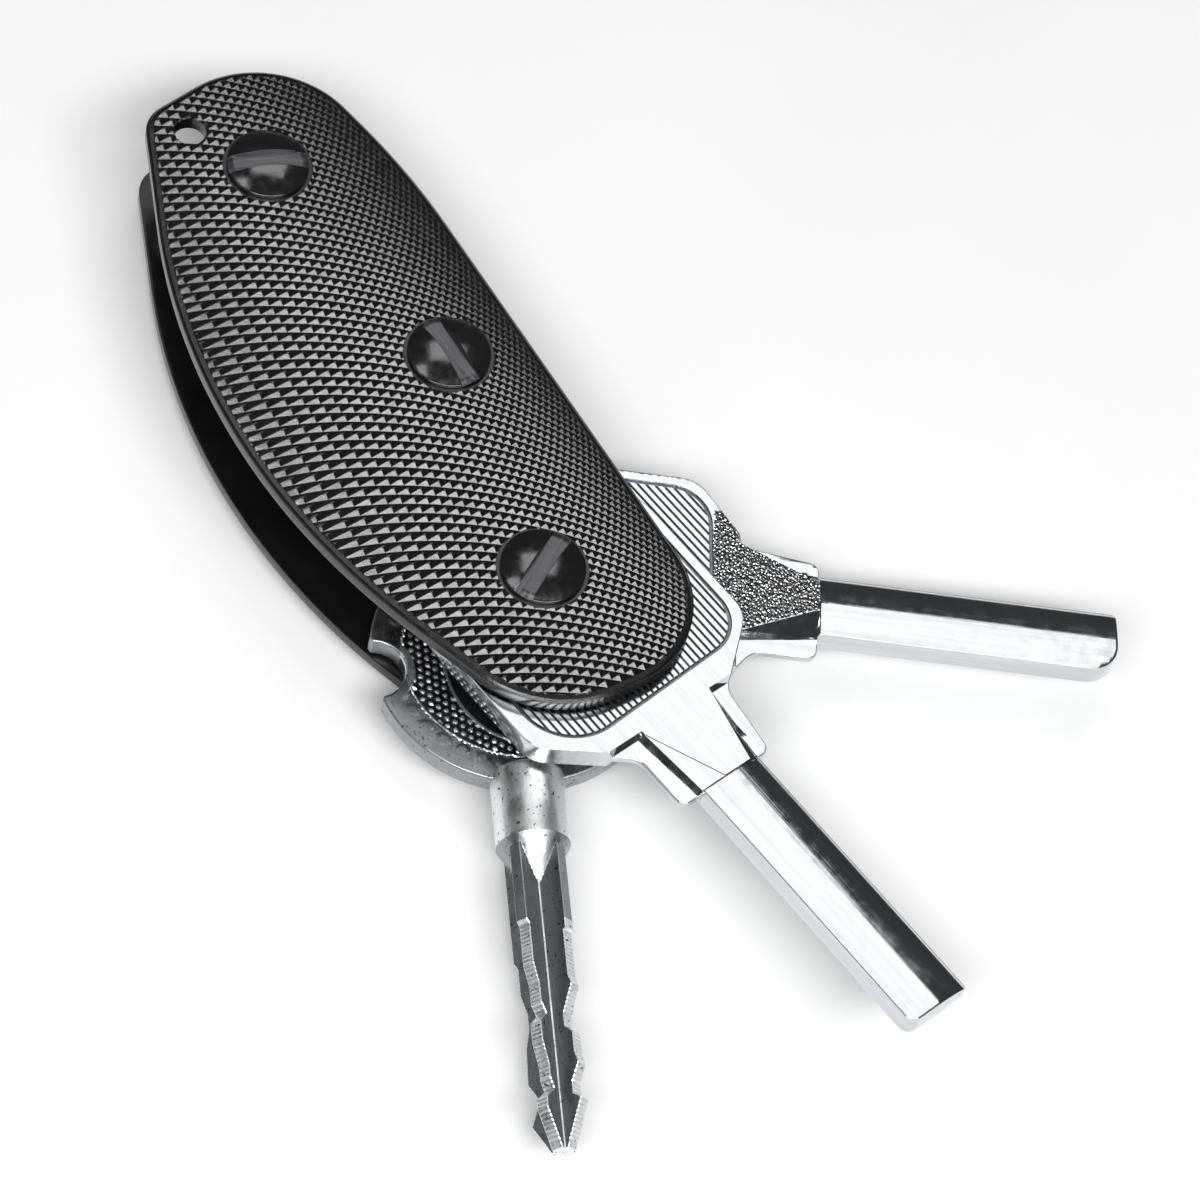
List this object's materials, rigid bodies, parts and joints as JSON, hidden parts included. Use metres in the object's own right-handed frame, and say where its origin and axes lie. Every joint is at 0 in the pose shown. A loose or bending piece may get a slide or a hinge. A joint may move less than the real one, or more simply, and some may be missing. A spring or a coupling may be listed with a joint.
{
  "type": "folding key organiser",
  "caption": "Two knurled black plates joined by slotted barrel posts, with flat keys and a cross key that fold out about the lowest post.",
  "frame": {"origin": "on the axis of the ring hole, midway between the two plates", "axes": "+X from the bulged edge to the straight edge, +Y along the plates away from the keys, +Z out of the front plate, along the ring hole"},
  "size_m": [0.081, 0.1244, 0.0154],
  "materials": {
    "anodised_plate": "black anodised, knurled",
    "black_screw": "black oxide, glossy",
    "steel_washer": "satin",
    "black_spacer": "moulded nylon",
    "plated_key": "nickel plated, milled and blasted",
    "cast_key": "nickel plated die casting"
  },
  "bodies": {
    "case": {"front_plate": "anodised_plate", "rear_plate": "anodised_plate", "pivot_barrel": "black_screw", "middle_barrel": "black_screw", "top_barrel": "black_screw", "pivot_screw": "black_screw", "middle_screw": "black_screw", "top_screw": "black_screw", "pivot_washer_1": "steel_washer", "pivot_washer_2": "steel_washer", "pivot_washer_3": "steel_washer", "pivot_washer_4": "steel_washer", "middle_spacer_1": "black_spacer", "middle_spacer_2": "black_spacer", "middle_spacer_3": "black_spacer", "top_spacer_1": "black_spacer", "top_spacer_2": "black_spacer", "top_spacer_3": "black_spacer"},
    "front_key_body": {"front_key": "plated_key"},
    "middle_key_body": {"middle_key": "plated_key"},
    "cross_key_body": {"cross_key": "cast_key"}
  },
  "joints": [
    {"name": "front_key_fold", "type": "hinge", "parent": "case", "child": "front_key_body", "pos_m": [0.005, -0.0617, 0.0028], "axis": [0, 0, 1], "range_deg": [-180, 136]},
    {"name": "middle_key_fold", "type": "hinge", "parent": "case", "child": "middle_key_body", "pos_m": [0.005, -0.0617, -0.0002], "axis": [0, 0, 1], "range_deg": [-20, 84]},
    {"name": "cross_key_fold", "type": "hinge", "parent": "case", "child": "cross_key_body", "pos_m": [0.005, -0.0617, -0.003], "axis": [0, 0, 1], "range_deg": [-64, 15]}
  ]
}
